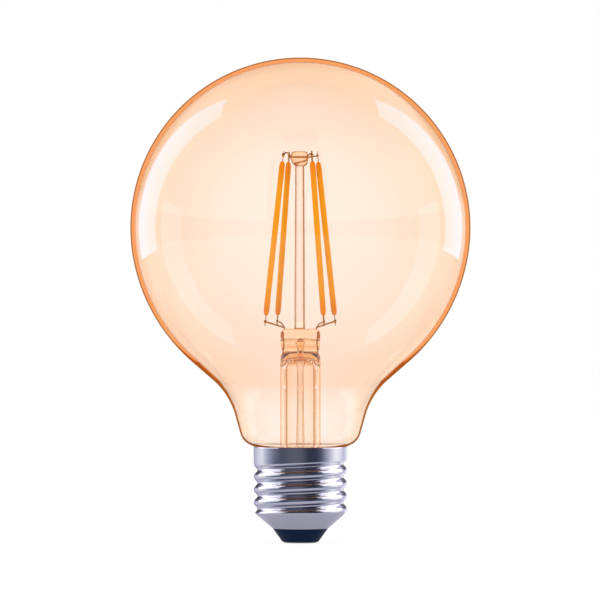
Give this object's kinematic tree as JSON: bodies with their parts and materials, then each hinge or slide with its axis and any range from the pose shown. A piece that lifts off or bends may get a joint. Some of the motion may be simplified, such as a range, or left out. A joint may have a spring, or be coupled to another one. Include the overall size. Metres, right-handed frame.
{
  "type": "smart light bulb",
  "caption": "Amber glass globe lamp with upright LED filaments round a glass stem, on a nickel-plated E27 screw cap that holds its driver and radio boards.",
  "frame": {"origin": "middle of the flat face of the bottom contact", "axes": "+Z along the lamp's axis from the contact to the crown of the globe, -Y towards the front, +X to the right"},
  "size_m": [0.095, 0.095, 0.1355],
  "materials": {
    "amber_glass": "clear amber-tinted blown glass, glossy",
    "stem_glass": "clear drawn glass tube and rod, glossy",
    "phosphor_silicone": "orange-yellow phosphor in soft silicone, satin",
    "strip_ceramic": "white sintered ceramic, matte",
    "led_chip": "pale yellow semiconductor chip, glossy",
    "nickel_wire": "drawn nickel-iron wire, lightly oxidised",
    "tab_metal": "nickel-plated strip, satin",
    "cap_metal": "bright nickel-plated rolled brass sheet",
    "insulator_black": "near-black blue moulded insulator, satin gloss",
    "contact_metal": "tinned brass, satin",
    "cement": "set basing cement, grainy matte",
    "liner_plastic": "white moulded sleeve, matte",
    "board_green": "green solder mask on glass-epoxy board",
    "board_blue": "blue solder mask on glass-epoxy board",
    "capacitor_sleeve": "dark blue shrink sleeve over an aluminium can",
    "ferrite": "dark grey pressed ferrite, matte",
    "copper": "enamelled copper, glossy",
    "chip_black": "black moulded epoxy, matte",
    "tinned_metal": "tin-plated, satin",
    "gold_plate": "gold-plated pins and trace",
    "resistor_paint": "grey-green fireproof coating",
    "capacitor_ceramic": "tan fired ceramic",
    "wire_red": "red insulated wire",
    "wire_blue": "blue insulated wire",
    "sleeve_fibre": "woven glass-fibre sleeving"
  },
  "bodies": {
    "root": {"globe_envelope": "amber_glass", "stem_flare": "stem_glass", "exhaust_tube": "stem_glass", "centre_rod": "stem_glass", "top_bead": "stem_glass", "filament_back_right": "phosphor_silicone", "filament_back_left": "phosphor_silicone", "filament_front_left": "phosphor_silicone", "filament_front_right": "phosphor_silicone", "filament_strips": "strip_ceramic", "led_chips": "led_chip", "filament_tabs": "tab_metal", "left_lead_wire": "nickel_wire", "right_lead_wire": "nickel_wire", "left_branch_wire": "nickel_wire", "right_branch_wire": "nickel_wire", "upper_bridge_wire": "nickel_wire", "lower_bridge_wire": "nickel_wire", "cap_shell": "cap_metal", "cap_insulator": "insulator_black", "centre_contact": "contact_metal", "basing_cement": "cement", "insulating_liner": "liner_plastic", "driver_board": "board_green", "bulk_capacitor": "capacitor_sleeve", "inductor_core": "ferrite", "inductor_winding": "copper", "bridge_rectifier": "chip_black", "driver_chip": "chip_black", "chip_legs": "tinned_metal", "fusible_resistor": "resistor_paint", "ceramic_capacitors": "capacitor_ceramic", "radio_board": "board_blue", "radio_shield": "tinned_metal", "radio_crystal": "tinned_metal", "radio_antenna": "gold_plate", "board_pins": "gold_plate", "live_wire": "wire_red", "neutral_wire": "wire_blue", "lead_sleeves": "sleeve_fibre"}
  },
  "joints": []
}
